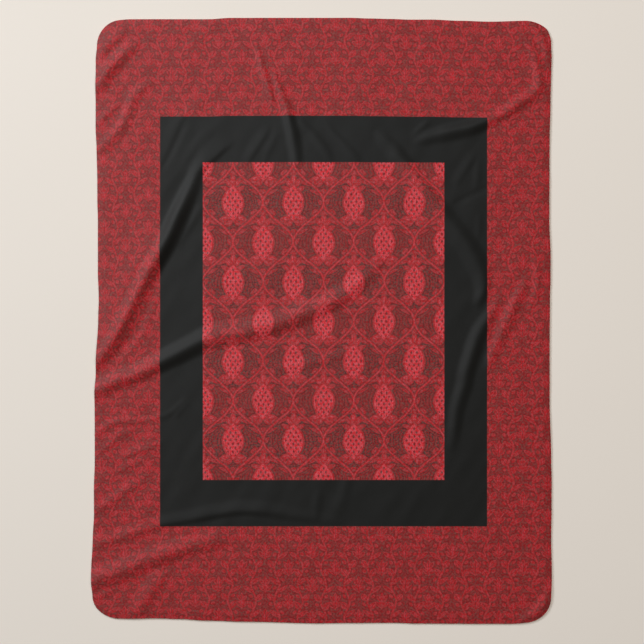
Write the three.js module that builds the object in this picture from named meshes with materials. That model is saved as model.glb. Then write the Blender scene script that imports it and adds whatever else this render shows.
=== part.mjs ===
// A printed sherpa blanket that lies face up on a flat surface, spread out but not smoothed.
// It is one cut length of two-faced pile cloth with round corners and a rolled edge.
// Millimetres, +Z up, +Y towards the head end. The origin is under the middle, on the surface.
import * as THREE from "three";

// Cut size of the cloth and its make
const cutWidth = 1524;
const cutLength = 2032;
const cornerRadius = 86;
const clothThickness = 8;
const rimRadius = clothThickness / 2;
const fleeceColour = 0x913839;

// Fineness of the mesh
const cellsAcross = 12;
const cellsAlong = 16;
const cornerCells = 1;
const rimSteps = 4;
const chordError = 1.6;
const shortestEdge = 12;
const testsPerEdge = 5;
const stepsPerCrestRow = 6;

// How far each edge lies out of the cut outline. The place is along Y on the two sides and along X at
// head and foot, and out is the distance beyond the cut, or inside it where it is negative.
const wanderColumns = ["place", "out"];
const edgeWander = {
  left: [
    [-836, 10.5],
    [-735, 7],
    [-640, 2.5],
    [-567, 3],
    [-466, 0],
    [-366, 0],
    [-265, 2.5],
    [-131, -3],
    [-97, -5],
    [3, -11],
    [70, -12.5],
    [170, -10.5],
    [406, -10.5],
    [474, -8.5],
    [574, -6],
    [650, -3],
  ],
  right: [
    [-836, 10.5],
    [-735, 7],
    [-640, 8],
    [-534, 8.5],
    [-466, 6.5],
    [-265, 1.5],
    [-60, 1.5],
    [70, 2.5],
    [205, 4],
    [340, 0.5],
    [608, 0.5],
    [742, 4.5],
    [923, 8],
  ],
  head: [
    [-376, -4],
    [-309, 0],
    [161, 0],
    [228, -5],
    [329, -3.5],
    [463, -9],
    [564, -12],
    [685, -10],
  ],
  foot: [
    [-645, -17.5],
    [-560, -19],
    [-480, -16.5],
    [-376, -11],
    [-275, -8],
    [-7, -2],
    [94, -4],
    [161, 0],
  ],
};
const wanderReach = 160; // how far in from an edge its wander is felt
const headReach = 700; // and from the head, where the whole end lies askew

// The folds, a crest each. Left and right are the widths of the flanks on either hand of someone who walks
// along the crest from its first row. A fold that runs off an edge keeps its height there.
const crestColumns = ["x", "y", "height", "left", "right"];
const folds = {
  longLeft: [
    [-292, 604, 0, 12, 40],
    [-328, 577, 2.4, 13, 62],
    [-366, 543, 4, 15, 68],
    [-411, 508, 6.5, 24, 44],
    [-437, 455, 10.5, 40, 37],
    [-461, 404, 13.5, 44, 38],
    [-490, 340, 16.5, 42, 38],
    [-519, 274, 18.5, 40, 40],
    [-584, 161, 17.5, 33, 40],
    [-640, 47, 17, 31, 40],
    [-695, -57, 15, 28, 36],
    [-743, -126, 12, 25, 30],
    [-780, -174, 2.5, 22, 26],
  ],
  longMiddle: [
    [-803, -254, 7, 34, 42],
    [-690, -206, 11.5, 33, 32],
    [-620, -183, 13, 34, 31],
    [-549, -147, 14, 44, 38],
    [-487, -114, 14.5, 50, 42],
    [-420, -79, 14.5, 48, 46],
    [-369, -57, 14.5, 45, 46],
    [-235, -34, 14, 42, 45],
    [-101, 5, 14.5, 43, 49],
    [34, 62, 14, 38, 47],
    [84, 91, 12, 34, 43],
    [130, 129, 8, 33, 39],
    [160, 155, 4, 31, 36],
    [185, 190, 1.9, 27, 29],
    [203, 235, 1, 24, 24],
    [212, 285, 0, 18, 18],
  ],
  headCreaseUpper: [
    [-224, 937, 0, 12, 14],
    [-205, 870, 5, 13, 18],
    [-189, 818, 7.2, 13, 18],
    [-171, 752, 4.5, 12, 16],
    [-160, 715, 0, 11, 12],
  ],
  headCreaseLower: [
    [-165, 845, 0, 11, 11],
    [-154, 809, 4.5, 13, 13],
    [-139, 759, 8, 19, 15],
    [-124, 717, 8.7, 22, 20],
    [-109, 655, 8.2, 25, 26],
    [-95, 591, 6.8, 27, 28],
    [-87, 541, 4.8, 26, 26],
    [-80, 505, 0, 16, 20],
  ],
  headRight: [
    [300, 600, 0, 22, 22],
    [345, 612, 4, 28, 28],
    [392, 626, 7.5, 30, 36],
    [434, 636, 9.5, 30, 38],
    [476, 645, 10.5, 30, 37],
    [518, 656, 10.5, 28, 34],
    [564, 676, 10.8, 26, 28],
    [609, 696, 11, 25, 26],
    [658, 730, 11.2, 25, 27],
    [708, 761, 10.2, 25, 28],
    [728, 797, 7, 26, 27],
    [724, 835, 5, 26, 22],
    [716, 876, 4, 26, 22],
    [704, 912, 3.2, 24, 20],
    [687, 944, 2.6, 22, 18],
    [655, 972, 0, 16, 14],
  ],
  headRightTip: [
    [690, 985, 0, 16, 22],
    [722, 965, 3.4, 16, 24],
    [745, 935, 4.4, 14, 24],
    [758, 895, 3.6, 12, 22],
    [765, 850, 0, 10, 18],
  ],
  rightDiagonal: [
    [180, 642, 0, 22, 26],
    [204, 614, 3.5, 28, 34],
    [241, 577, 5.5, 32, 40],
    [266, 541, 6.8, 34, 42],
    [346, 437, 7.5, 34, 46],
    [430, 330, 8.5, 40, 50],
    [484, 258, 9, 43, 50],
    [510, 214, 8.8, 44, 48],
    [530, 170, 8, 42, 46],
    [541, 131, 7, 35, 42],
    [540, 100, 6, 24, 36],
    [528, 72, 4, 24, 30],
    [508, 44, 0, 22, 24],
  ],
  rightUpper: [
    [692, 152, 0, 20, 20],
    [672, 114, 4, 28, 22],
    [646, 64, 6.5, 33, 26],
    [625, 13, 7, 33, 26],
    [603, -37, 7, 31, 25],
    [582, -84, 5.8, 28, 24],
    [562, -135, 3.5, 24, 22],
    [548, -180, 0, 20, 18],
  ],
  rightLower: [
    [606, 98, 0, 16, 16],
    [592, 72, 2.5, 20, 20],
    [578, 47, 4.5, 23, 24],
    [565, 22, 6, 28, 30],
    [536, -24, 8.5, 34, 36],
    [515, -69, 9, 35, 37],
    [485, -169, 9, 35, 37],
    [476, -215, 8, 34, 35],
    [450, -299, 6.3, 33, 32],
    [445, -345, 5.5, 30, 30],
    [438, -392, 3.5, 28, 28],
    [428, -440, 0, 24, 24],
  ],
  headLeftCornerOuter: [
    [-774, 765, 5.5, 34, 36],
    [-755, 788, 8.5, 35, 39],
    [-738, 805, 11, 35, 40],
    [-716, 842, 12, 34, 38],
    [-688, 870, 9.2, 32, 36],
    [-661, 899, 6.8, 30, 32],
    [-634, 918, 4.5, 26, 28],
    [-606, 936, 0, 18, 20],
  ],
  headLeftCornerInner: [
    [-762, 559, 0, 16, 20],
    [-736, 585, 3.5, 22, 30],
    [-705, 615, 5, 26, 34],
    [-671, 655, 5.3, 26, 34],
    [-650, 703, 5.2, 26, 34],
    [-628, 754, 4.4, 27, 30],
    [-586, 793, 2.8, 22, 22],
    [-558, 813, 0, 18, 16],
  ],
  footBand: [
    [-775, -757, 1.8, 36, 28],
    [-695, -733, 4.2, 42, 28],
    [-622, -714, 5, 46, 27],
    [-544, -694, 5, 48, 25],
    [-425, -664, 5.5, 50, 24],
    [-341, -650, 5.8, 50, 24],
    [-274, -644, 5.2, 50, 25],
    [-198, -645, 3.5, 46, 28],
    [-131, -652, 1.6, 38, 30],
    [-60, -668, 0, 28, 28],
  ],
  footLeft: [
    [-803, -882, 7, 58, 38],
    [-735, -859, 10, 66, 38],
    [-662, -834, 10.2, 64, 36],
    [-593, -805, 10.2, 62, 35],
    [-459, -762, 8.4, 56, 36],
    [-358, -738, 3.8, 48, 35],
    [-280, -724, 0, 28, 28],
  ],
  footLeftCorner: [
    [-635, -1000, 0, 20, 20],
    [-612, -964, 5.2, 42, 30],
    [-575, -909, 7, 50, 34],
    [-543, -864, 5, 44, 34],
    [-517, -832, 0, 24, 24],
  ],
  footRightTip: [
    [766, -875, 0, 12, 22],
    [760, -915, 5, 15, 28],
    [744, -953, 7.5, 17, 32],
    [712, -984, 7, 17, 32],
    [674, -1002, 4, 14, 26],
    [642, -1012, 0, 10, 20],
  ],
};

// 1 at 0, 0 from 1 on, level at both ends: the section of a fold's flank
function falloff(t) {
  return 1 - THREE.MathUtils.smoothstep(t, 0, 1);
}

// The rows of a table as objects with its columns' names
function named(columns, rows) {
  return rows.map((row) => Object.fromEntries(columns.map((column, i) => [column, row[i]])));
}

const edges = Object.fromEntries(
  Object.entries(edgeWander).map(([edge, rows]) => [edge, named(wanderColumns, rows)]),
);

// The distance out at a place along an edge, eased from row to row
function wanderAt(rows, place) {
  const after = rows.findIndex((row) => row.place > place);
  if (after === 0) return rows[0].out;
  if (after < 0) return rows.at(-1).out;
  const [a, b] = rows.slice(after - 1, after + 1);
  return THREE.MathUtils.lerp(a.out, b.out, THREE.MathUtils.smoothstep(place, a.place, b.place));
}

// A crest as short straight steps between points that hold x, y, height and the two flanks
function crestSteps(rows) {
  const places = new THREE.CatmullRomCurve3(rows.map((row) => new THREE.Vector3(row.x, row.y, row.height)));
  const flanks = new THREE.CatmullRomCurve3(rows.map((row) => new THREE.Vector3(row.left, row.right, 0)));
  const count = (rows.length - 1) * stepsPerCrestRow;
  const points = Array.from({ length: count + 1 }, (_, i) => {
    const place = places.getPoint(i / count);
    const flank = flanks.getPoint(i / count);
    return { x: place.x, y: place.y, height: Math.max(place.z, 0), left: flank.x, right: flank.y };
  });
  const reach = Math.max(...rows.flatMap((row) => [row.left, row.right]));
  const box = new THREE.Box2().setFromPoints(points).expandByScalar(reach);
  return { points, box };
}

const crests = Object.values(folds).map((rows) => crestSteps(named(crestColumns, rows)));

// Height of one fold over a place on the surface, from the nearest point of its crest
function foldHeight({ points, box }, place) {
  if (!box.containsPoint(place)) return 0;
  let nearest = { distance: Infinity };
  for (let i = 1; i < points.length; i++) {
    const a = points[i - 1];
    const b = points[i];
    const along = { x: b.x - a.x, y: b.y - a.y };
    const lengthSq = along.x ** 2 + along.y ** 2;
    const dot = (place.x - a.x) * along.x + (place.y - a.y) * along.y;
    const part = THREE.MathUtils.clamp(dot / lengthSq, 0, 1);
    const off = { x: place.x - a.x - part * along.x, y: place.y - a.y - part * along.y };
    const distance = Math.hypot(off.x, off.y);
    if (distance < nearest.distance) {
      const onLeft = along.x * off.y - along.y * off.x > 0;
      nearest = { distance, a, b, part, side: onLeft ? "left" : "right" };
    }
  }
  const { distance, a, b, part, side } = nearest;
  const height = THREE.MathUtils.lerp(a.height, b.height, part);
  return height * falloff(distance / THREE.MathUtils.lerp(a[side], b[side], part));
}

// A place on the cut cloth moved by the wander of the edges near it
function wandered(x, y) {
  const fromSide = (outwards, half, reach = wanderReach) => falloff((half - outwards) / reach);
  const halfWidth = cutWidth / 2;
  const halfLength = cutLength / 2;
  const left = wanderAt(edges.left, y) * fromSide(-x, halfWidth);
  const right = wanderAt(edges.right, y) * fromSide(x, halfWidth);
  const head = wanderAt(edges.head, x) * fromSide(y, halfLength, headReach);
  const foot = wanderAt(edges.foot, x) * fromSide(-y, halfLength);
  return new THREE.Vector2(x + right - left, y + head - foot);
}

// Cloth coordinates across and along, each from -1 to 1, to a place within the rim of the rounded outline.
// The last rows at each end step round the corners by angle.
function onCut(across, along) {
  const straightPart = 1 - (2 * cornerCells) / cellsAlong;
  const end = Math.sign(along);
  const beyond = Math.max(Math.abs(along) - straightPart, 0) / (1 - straightPart);
  const turn = (beyond * Math.PI) / 2;
  const insetRadius = cornerRadius - rimRadius;
  const straightHalf = cutLength / 2 - cornerRadius;
  const straightY = Math.min(Math.abs(along) / straightPart, 1) * straightHalf;
  const halfWidth = cutWidth / 2 - cornerRadius + insetRadius * Math.cos(turn);
  return new THREE.Vector2(across * halfWidth, end * (straightY + insetRadius * Math.sin(turn)));
}

// The middle of the cloth's thickness at given cloth coordinates
function clothPoint(across, along) {
  const cut = onCut(across, along);
  const place = wandered(cut.x, cut.y);
  const lift = crests.reduce((sum, crest) => sum + foldHeight(crest, place), 0);
  return new THREE.Vector3(place.x, place.y, lift + rimRadius);
}

// The way out of the cloth at its edge
function outwardAt(across, along) {
  const cut = onCut(across, along);
  const core = new THREE.Vector2(cutWidth / 2 - cornerRadius, cutLength / 2 - cornerRadius);
  const nearest = cut.clone().clamp(core.clone().negate(), core);
  return cut.sub(nearest).normalize();
}

// Right triangles over the cloth, halved across the longest side until they follow its folds and its outline
function clothTriangles() {
  const corners = [];
  const known = new Map();
  const corner = (across, along) => {
    const key = across + "," + along;
    if (!known.has(key)) {
      known.set(key, corners.length);
      corners.push({ across, along, point: clothPoint(across, along) });
    }
    return known.get(key);
  };
  const halved = new Map();
  const edgeKey = (a, b) => Math.min(a, b) + "," + Math.max(a, b);
  const middleOf = (a, b) => {
    const key = edgeKey(a, b);
    if (!halved.has(key)) {
      const [p, q] = [corners[a], corners[b]];
      halved.set(key, corner((p.across + q.across) / 2, (p.along + q.along) / 2));
    }
    return halved.get(key);
  };

  const tooCoarse = (triangle) => {
    const [a, b, c] = triangle.map((i) => corners[i]);
    if (a.point.distanceTo(b.point) < shortestEdge) return false;
    for (let i = 0; i <= testsPerEdge; i++) {
      for (let j = 0; i + j <= testsPerEdge; j++) {
        const [u, v] = [i / testsPerEdge, j / testsPerEdge];
        const w = 1 - u - v;
        const across = u * a.across + v * b.across + w * c.across;
        const along = u * a.along + v * b.along + w * c.along;
        const flat = a.point.clone().multiplyScalar(u).addScaledVector(b.point, v).addScaledVector(c.point, w);
        const miss = clothPoint(across, along).sub(flat);
        const onOutline = Math.max(Math.abs(across), Math.abs(along)) === 1;
        if ((onOutline ? miss.length() : Math.abs(miss.z)) > chordError) return true;
      }
    }
    return false;
  };

  let triangles = [];
  for (let i = 0; i < cellsAcross; i++) {
    for (let j = 0; j < cellsAlong; j++) {
      const [x0, x1] = [i, i + 1].map((k) => (2 * k) / cellsAcross - 1);
      const [y0, y1] = [j, j + 1].map((k) => (2 * k) / cellsAlong - 1);
      const quad = [corner(x0, y0), corner(x1, y0), corner(x1, y1), corner(x0, y1)];
      const [p, q, r, s] = (i + j) % 2 ? quad : [quad[1], quad[2], quad[3], quad[0]];
      triangles.push([p, r, s], [r, p, q]);
    }
  }

  const checked = new Set();
  let changed = true;
  while (changed) {
    changed = false;
    triangles = triangles.flatMap((triangle) => {
      const [a, b, c] = triangle;
      const neighbourHalved = [edgeKey(a, b), edgeKey(b, c), edgeKey(c, a)].some((key) => halved.has(key));
      const fine = !neighbourHalved && (checked.has(triangle) || !tooCoarse(triangle));
      if (fine) {
        checked.add(triangle);
        return [triangle];
      }
      changed = true;
      const middle = middleOf(a, b);
      return [
        [c, a, middle],
        [b, c, middle],
      ];
    });
  }
  return { corners, triangles };
}

// The corners along the edge of the cloth, in order, counter-clockwise from above
function edgeLoop(triangles) {
  const next = new Map();
  const sides = triangles.flatMap(([a, b, c]) => [
    [a, b],
    [b, c],
    [c, a],
  ]);
  const present = new Set(sides.map(([a, b]) => a + "," + b));
  for (const [a, b] of sides) {
    if (!present.has(b + "," + a)) next.set(a, b);
  }
  const loop = [next.keys().next().value];
  while (next.get(loop.at(-1)) !== loop[0]) loop.push(next.get(loop.at(-1)));
  return loop;
}

// The closed sheet: the face, the underside straight below it, and a half-round rim between them
function blanketGeometry() {
  const { corners, triangles } = clothTriangles();
  const loop = edgeLoop(triangles);
  const positions = [];
  for (const side of [1, -1]) {
    for (const { point } of corners) positions.push(point.x, point.y, point.z + side * rimRadius);
  }
  const faces = [];
  for (const [a, b, c] of triangles) {
    faces.push(a, b, c);
    faces.push(c + corners.length, b + corners.length, a + corners.length);
  }

  const rings = [loop];
  for (let step = 1; step < rimSteps; step++) {
    const turn = Math.PI * (0.5 - step / rimSteps);
    const ring = loop.map((index) => {
      const { across, along, point } = corners[index];
      const out = outwardAt(across, along).multiplyScalar(rimRadius * Math.cos(turn));
      positions.push(point.x + out.x, point.y + out.y, point.z + rimRadius * Math.sin(turn));
      return positions.length / 3 - 1;
    });
    rings.push(ring);
  }
  rings.push(loop.map((index) => index + corners.length));
  for (let k = 1; k < rings.length; k++) {
    const [upper, lower] = [rings[k - 1], rings[k]];
    for (let i = 0; i < loop.length; i++) {
      const j = (i + 1) % loop.length;
      faces.push(upper[i], lower[i], lower[j]);
      faces.push(upper[i], lower[j], upper[j]);
    }
  }

  const geometry = new THREE.BufferGeometry();
  geometry.setAttribute("position", new THREE.Float32BufferAttribute(positions, 3));
  geometry.setIndex(faces);
  geometry.computeVertexNormals();
  return geometry;
}

const fleece = new THREE.MeshStandardMaterial({ color: fleeceColour, roughness: 0.95, metalness: 0 });
const blanket = new THREE.Mesh(blanketGeometry(), fleece);
blanket.name = "blanket";

const part = new THREE.Group();
part.add(blanket);

export default part;
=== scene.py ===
# A printed sherpa blanket that lies face up on a pale floor, seen from straight above.
# Metres in Blender. Sizes of the cloth and its print are written in millimetres.
import math
import bpy
import numpy as np
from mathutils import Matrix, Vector, noise


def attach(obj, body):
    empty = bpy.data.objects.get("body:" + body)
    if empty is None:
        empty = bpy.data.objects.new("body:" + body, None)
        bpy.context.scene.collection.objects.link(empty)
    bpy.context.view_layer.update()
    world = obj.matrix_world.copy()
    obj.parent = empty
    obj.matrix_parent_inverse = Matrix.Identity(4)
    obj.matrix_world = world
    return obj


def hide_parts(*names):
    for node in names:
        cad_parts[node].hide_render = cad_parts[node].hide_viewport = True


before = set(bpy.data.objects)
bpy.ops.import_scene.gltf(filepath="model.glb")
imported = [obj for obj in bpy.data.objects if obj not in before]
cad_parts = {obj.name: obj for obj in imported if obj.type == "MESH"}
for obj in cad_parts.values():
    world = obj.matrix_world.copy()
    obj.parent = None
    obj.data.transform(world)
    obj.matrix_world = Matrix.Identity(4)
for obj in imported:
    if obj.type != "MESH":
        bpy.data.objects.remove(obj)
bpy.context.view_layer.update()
mm = 0.001
print("frame:", len(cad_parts), "solid to dress")


# Node trees: a socket that takes part in sums, and one way to add any other node

class Wire:
    def __init__(self, nodes, socket):
        self.nodes = nodes
        self.socket = socket

    def math(self, operation, *others):
        return self.nodes.add("ShaderNodeMath", {"operation": operation}, dict(enumerate([self, *others])))

    def __add__(self, other):
        return self.math("ADD", other)

    def __sub__(self, other):
        return self.math("SUBTRACT", other)

    def __rsub__(self, other):
        return self.nodes.add("ShaderNodeMath", {"operation": "SUBTRACT"}, {0: other, 1: self})

    def __mul__(self, other):
        return self.math("MULTIPLY", other)

    def __truediv__(self, other):
        return self.math("DIVIDE", other)

    def __abs__(self):
        return self.math("ABSOLUTE")

    __radd__ = __add__
    __rmul__ = __mul__


class Nodes:
    def __init__(self, tree):
        self.tree = tree

    def feed(self, socket, value):
        if isinstance(value, Wire):
            self.tree.links.new(value.socket, socket)
        else:
            socket.default_value = value

    def add(self, kind, settings=None, sockets=None, out=0):
        node = self.tree.nodes.new(kind)
        for name, value in (settings or {}).items():
            setattr(node, name, value)
        for key, value in (sockets or {}).items():
            self.feed(node.inputs[key], value)
        return Wire(self, node.outputs[out])


def fade(value, start, end):  # 0 up to start, 1 from end on, eased between
    sockets = {0: value, 1: start, 2: end}
    return value.nodes.add("ShaderNodeMapRange", {"interpolation_type": "SMOOTHSTEP"}, sockets)


def line(value, at, width, soft=1.0):  # 1 on a line of that width where value passes at
    return fade(abs(value - at), width / 2 + soft, width / 2 - soft / 2)


def mixed(mask, first, second):  # colours by a mask
    return mask.nodes.add("ShaderNodeMix", {"data_type": "RGBA"}, {0: mask, 6: first, 7: second}, 2)


def scaled(nodes, vector, by):  # a vector or colour times a number
    return nodes.add("ShaderNodeVectorMath", {"operation": "SCALE"}, {0: vector, "Scale": by})


def grain(nodes, place, size, detail=2.0, rough=0.5):  # noise with patches of about that size in metres
    sockets = {"Vector": place, "Scale": 1 / size, "Detail": detail, "Roughness": rough}
    return nodes.add("ShaderNodeTexNoise", {}, sockets)


def specks(nodes, place, size, detail, rough, start, end):  # the same noise, parted into clear and full
    return fade(grain(nodes, place, size, detail, rough), start, end)


def newFinish(name):
    material = bpy.data.materials.new(name)
    material.use_nodes = True
    return material, Nodes(material.node_tree), material.node_tree.nodes["Principled BSDF"]


# The cloth

blanket = {
    "cutWidth": 1524,
    "cutLength": 2032,
    "cornerRadius": 86,
    "thickness": 8,
    "pileDepth": 3.6,      # of the thickness, left to the curls below the backing
    "hemRadius": 1.7,      # the rolled edge
    "hemReach": 22,        # how far in the face slopes down to the hem
    "hemDrop": 2.1,        # by this much
    "pileReach": 9,        # and the same for the backing
    "pileDrop": 1.6,
    "cellsAcross": 224,
    "cellsAlong": 300,
    "cornerShare": 1 / 16,  # of the rows at each end that go round the corners
    "rimSteps": 6,
    "stepsPerRow": 6,
    "wanderReach": 160,
    "headReach": 700,      # the head's wander is felt much further in
    "loftSlant": 58,       # degrees from across the cloth
    "loftSlice": 0.5,      # where the noise is cut through
    "lofts": [(0.8, 125, 125), (0.45, 44, 44), (1.0, 42, 190)],  # height, size across and along the slant
}

# How far each edge lies out of the cut outline, as rows of place along it and distance out
edgeWander = {
    "left": [(-1000, 9), (-935, 7.6), (-880, 11.2), (-836, 12), (-735, 7), (-640, 2.5), (-567, 3),
             (-466, 0), (-366, 0), (-265, 0.8), (-131, -4.6), (3, -12), (70, -13.5), (170, -10.5),
             (339, -10.4), (406, -8.6), (474, -8.4), (574, -6.3), (650, -3), (880, -3), (932, -7.5)],
    "right": [(-930, 6.3), (-870, 8.7), (-836, 8.7), (-735, 6.7), (-640, 7.8), (-534, 8.3),
              (-466, 6.7), (-265, 1.7), (-60, 1.5), (70, 2.5), (138, 4.4), (205, 4.8), (340, 0.7),
              (608, 1.6), (742, 4.7), (900, 8.2), (930, 6.5), (965, 9.6), (988, 15), (1010, 12.5)],
    "head": [(-688, -6.5), (-645, -4), (-376, -4), (-309, 0.5), (94, 0.8), (161, -1.4), (228, -3),
             (295, -5.4), (363, -5), (463, -9), (564, -12), (685, -9.2)],
    "foot": [(-700, -18.3), (-645, -17.5), (-560, -19), (-480, -16.5), (-376, -11), (-275, -8),
             (-7, -2), (94, -3.5), (228, -3.9), (310, -1.6), (560, -0.6), (631, -0.3), (690, -4.2)],
}

# Rows of x, y, height, and the flank's width on the left and right of someone who walks along the crest
mainFolds = {
    "longLeft": [(-292, 604, 0, 12, 40), (-328, 577, 2.4, 13, 62), (-366, 543, 4, 15, 68),
                 (-411, 508, 5.8, 24, 40), (-437, 455, 8.6, 35, 31), (-461, 404, 11.2, 40, 31),
                 (-490, 340, 14, 45, 34), (-519, 274, 13.8, 43, 37), (-584, 161, 11.5, 42, 36),
                 (-640, 47, 11, 42, 36), (-695, -57, 10, 38, 34), (-743, -126, 7.5, 30, 30),
                 (-780, -174, 2.5, 22, 26)],
    "longLeftSwell": [
        (-437, 455, 0, 37, 60), (-461, 404, 1.2, 42, 80), (-490, 340, 3.6, 44, 100),
        (-519, 274, 5.4, 43, 130), (-584, 161, 7.5, 42, 160), (-640, 47, 7.5, 42, 160),
        (-695, -57, 7, 38, 140), (-743, -126, 4.5, 30, 100), (-780, -174, 0, 22, 60)],
    "longMiddle": [(-803, -254, 7, 34, 42), (-691, -202, 11.5, 41, 37), (-621, -179, 12.6, 42, 36),
                   (-550, -143, 13.4, 42, 39), (-488, -111, 13.4, 43, 42), (-421, -76, 13.6, 44, 46),
                   (-369, -55, 13.8, 50, 49), (-235, -31, 13.5, 53, 46), (-101, 8, 13.5, 53, 46),
                   (33, 64.5, 11.6, 47, 42), (83, 93, 9.4, 43, 38), (128, 131, 6.4, 40, 34),
                   (160, 155, 3.5, 35, 31), (185, 190, 1.9, 27, 29), (203, 235, 1, 24, 24),
                   (212, 285, 0, 18, 18)],
    "headCreaseUpper": [
        (-224, 937, 0, 12, 14), (-205, 870, 5, 13, 18), (-189, 818, 7.2, 13, 18),
        (-171, 752, 4.5, 12, 16), (-160, 715, 0, 11, 12)],
    "headCreaseLower": [
        (-165, 845, 0, 11, 11), (-154, 809, 4.5, 13, 13), (-137, 759, 7.5, 23, 14),
        (-121, 717, 8, 26, 18), (-106, 655, 7.6, 29, 24), (-93, 591, 6.4, 30, 27),
        (-87, 541, 4.8, 26, 26), (-80, 505, 0, 16, 20)],
    "headRight": [(300, 600, 0, 22, 22), (345, 612, 4, 28, 28), (392, 626, 7.5, 30, 36),
                  (434, 636, 9.5, 30, 38), (476, 645, 10.5, 30, 37), (518, 656, 10.5, 28, 34),
                  (564, 676, 10, 28, 29), (609, 696, 9.4, 28, 28), (658, 730, 9.4, 28, 29),
                  (708, 761, 8.8, 28, 29), (728, 797, 7, 26, 27), (724, 835, 5, 26, 22),
                  (716, 876, 4, 26, 22), (704, 912, 3.2, 24, 20), (687, 944, 2.6, 22, 18),
                  (655, 972, 0, 16, 14)],
    "headRightTip": [(690, 985, 0, 16, 22), (722, 965, 3.4, 16, 24), (745, 935, 4.4, 14, 24),
                     (758, 895, 3.6, 12, 22), (765, 850, 0, 10, 18)],
    "rightDiagonal": [(180, 642, 0, 22, 26), (204, 614, 2.6, 28, 34), (241, 577, 4.4, 32, 40),
                      (266, 541, 6, 34, 42), (346, 437, 7.5, 34, 46), (430, 330, 7, 40, 50),
                      (484, 258, 7.8, 43, 50), (510, 214, 7.8, 44, 48), (530, 170, 7.2, 42, 46),
                      (541, 131, 7, 35, 42), (540, 100, 6, 24, 36), (528, 72, 4, 24, 30),
                      (508, 44, 0, 22, 24)],
    "rightUpper": [(692, 152, 0, 20, 20), (672, 114, 4, 28, 22), (646, 64, 6.5, 33, 26),
                   (625, 13, 7, 33, 26), (603, -37, 7, 31, 25), (582, -84, 5.8, 28, 24),
                   (562, -135, 3.5, 24, 22), (548, -180, 0, 20, 18)],
    "rightLower": [(606, 98, 0, 16, 16), (592, 72, 2.5, 20, 20), (578, 47, 4.5, 23, 24),
                   (565, 22, 6, 28, 30), (536, -24, 8.2, 34, 36), (515, -69, 8.5, 35, 37),
                   (485, -169, 8.5, 35, 37), (476, -215, 7.5, 34, 35), (450, -299, 6.3, 33, 32),
                   (445, -345, 5.5, 30, 30), (438, -392, 3.5, 28, 28), (428, -440, 0, 24, 24)],
    "headLeftCornerOuter": [
        (-774, 765, 5.5, 34, 36), (-755, 788, 8.5, 35, 39), (-738, 805, 11, 35, 40),
        (-716, 842, 12, 34, 38), (-688, 870, 9.2, 32, 36), (-661, 899, 6.8, 30, 32),
        (-634, 918, 4.5, 26, 28), (-606, 936, 0, 18, 20)],
    "headLeftCornerInner": [
        (-762, 559, 0, 16, 20), (-736, 585, 3.5, 22, 30), (-705, 615, 5, 26, 34),
        (-671, 655, 5.3, 26, 34), (-650, 703, 5.2, 26, 34), (-628, 754, 4.4, 27, 30),
        (-586, 793, 2.8, 22, 22), (-558, 813, 0, 18, 16)],
    "footBand": [(-775, -753, 1.8, 32, 28), (-695, -729, 4.2, 36, 28), (-622, -708, 4.8, 38, 26),
                 (-544, -684, 3.9, 38, 20), (-425, -661, 4.1, 42, 18), (-341, -645, 4.5, 44, 18),
                 (-274, -636, 4.3, 44, 19), (-198, -637, 3.7, 42, 22), (-131, -646, 2.8, 38, 24),
                 (-60, -657, 2, 34, 23), (10, -668, 1.1, 30, 22), (80, -680, 0, 24, 20)],
    "footLeft": [(-803, -882, 7, 52, 46), (-735, -859, 9.6, 54, 50), (-662, -834, 9.6, 52, 47),
                 (-593, -805, 9.6, 52, 42), (-459, -762, 8.2, 50, 38), (-358, -738, 3.8, 48, 35),
                 (-280, -724, 0, 28, 28)],
    "footLeftCorner": [(-635, -1000, 0, 20, 20), (-612, -964, 5.2, 42, 30), (-575, -909, 7, 50, 34),
                       (-543, -864, 5, 44, 34), (-517, -832, 0, 24, 24)],
    "footRightTip": [(766, -875, 0, 12, 22), (760, -915, 5, 15, 28), (744, -953, 7.5, 17, 32),
                     (712, -984, 7, 17, 32), (674, -1002, 4, 14, 26), (642, -1012, 0, 10, 20)],
}

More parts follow.
